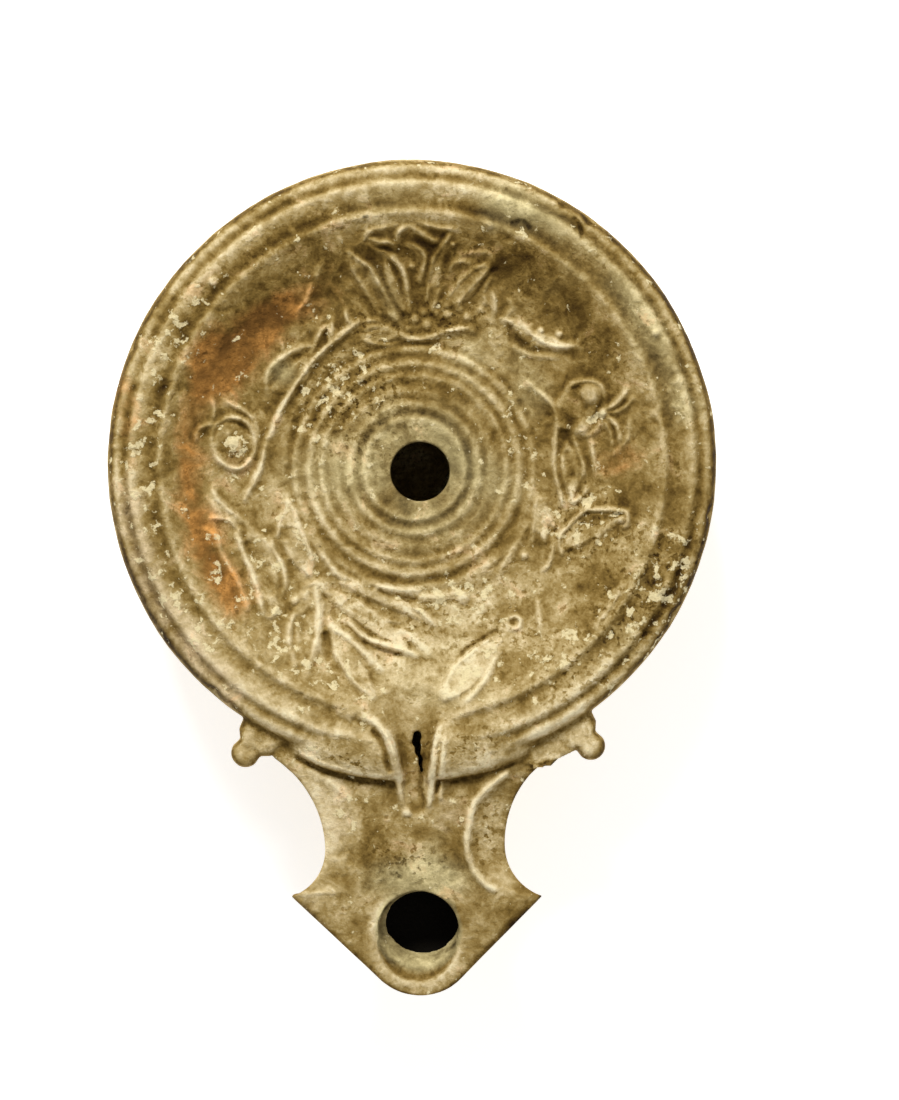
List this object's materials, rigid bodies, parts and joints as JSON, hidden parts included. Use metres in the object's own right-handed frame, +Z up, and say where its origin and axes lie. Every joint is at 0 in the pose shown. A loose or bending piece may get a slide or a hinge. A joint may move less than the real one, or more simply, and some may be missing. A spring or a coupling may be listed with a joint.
{
  "type": "oil lamp",
  "caption": "Ancient fired-clay oil lamp: round hollow body, sunk discus with turned rings and a fruit wreath, stepped shoulder and volute nozzle.",
  "frame": {"origin": "middle of the flat base's underside, where the lamp stands", "axes": "+Z up through the body's axis, -Y along the nozzle towards its tip, +X to the right as the lamp is seen from above with its nozzle towards the viewer"},
  "size_m": [0.084, 0.1152, 0.0284],
  "materials": {
    "fired_clay": "matt worn clay with lime deposits"
  },
  "bodies": {
    "root": {"oil_lamp": "fired_clay"}
  },
  "joints": []
}
